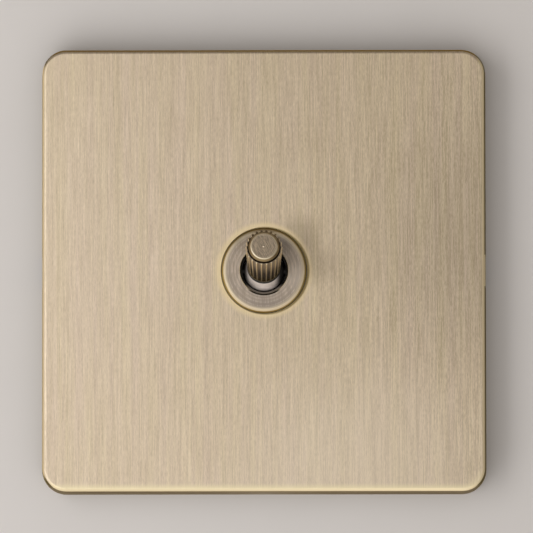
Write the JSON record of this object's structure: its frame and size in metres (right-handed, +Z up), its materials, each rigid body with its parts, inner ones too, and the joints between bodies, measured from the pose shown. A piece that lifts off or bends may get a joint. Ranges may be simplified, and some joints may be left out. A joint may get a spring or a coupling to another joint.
{
  "type": "dolly light switch",
  "caption": "Square wall plate with a fluted dolly lever in a round collar, and the two-way toggle switch behind it.",
  "frame": {"origin": "on the wall plane, midway between the two fixing screws", "axes": "+Z up, -Y out of the plate's front, +Y into the wall, +X to the right seen from the front"},
  "size_m": [0.0864, 0.0497, 0.0864],
  "materials": {
    "antique_brass_plate": "vertically brushed antique brass, satin",
    "turned_brass_collar": "turned antique brass, satin face and bright rim",
    "grip_brass": "antique brass, dark in the flutes",
    "ball_metal": "polished dark plated metal",
    "black_moulding": "matt black moulding",
    "grey_moulding": "pale grey moulding",
    "plated_steel": "zinc plated pressed steel",
    "screw_steel": "nickel plated steel",
    "spring_steel": "drawn spring steel",
    "die_cast": "die-cast zinc, dull grey",
    "terminal_brass": "plain brass",
    "contact_silver": "silver contact alloy",
    "contact_copper": "copper alloy strip"
  },
  "bodies": {
    "housing": {"front_plate": "antique_brass_plate", "bezel_ring": "turned_brass_collar", "plate_liner": "black_moulding", "mounting_frame": "plated_steel", "fixing_screws": "screw_steel", "threaded_bush": "die_cast", "lock_washer": "plated_steel", "lock_nut": "terminal_brass", "pivot_pin": "screw_steel", "fixed_contacts": "contact_silver", "com_terminal": "terminal_brass", "l1_terminal": "terminal_brass", "l2_terminal": "terminal_brass", "terminal_screws": "screw_steel", "switch_body": "grey_moulding", "switch_cover": "grey_moulding", "body_rivets": "screw_steel", "earth_terminal": "terminal_brass", "earth_screw": "screw_steel"},
    "lever": {"pivot_ball": "ball_metal", "dolly_grip": "grip_brass", "plunger_spring": "spring_steel"},
    "plunger": {"plunger": "terminal_brass"},
    "rocker": {"rocker_cradle": "grey_moulding", "rocker_contact": "contact_copper", "moving_contacts": "contact_silver"}
  },
  "joints": [
    {"name": "lever_toggle", "type": "hinge", "parent": "housing", "child": "lever", "pos_m": [0, -0.0049, 0], "axis": [1, 0, 0], "range_deg": [0, 28]},
    {"name": "plunger_slide", "type": "slide", "parent": "lever", "child": "plunger", "axis": [0, -0.9703, 0.2419], "range_m": [0, 0.0006], "stiffness_N_per_m": 300, "springref_m": -0.004},
    {"name": "rocker_tilt", "type": "hinge", "parent": "housing", "child": "rocker", "pos_m": [0, 0.01182, 0], "axis": [1, 0, 0], "range_deg": [-16, 0]}
  ],
  "couplings": [
    {"joint": "rocker_tilt", "follows": "lever_toggle", "ratio": -0.57143}
  ]
}
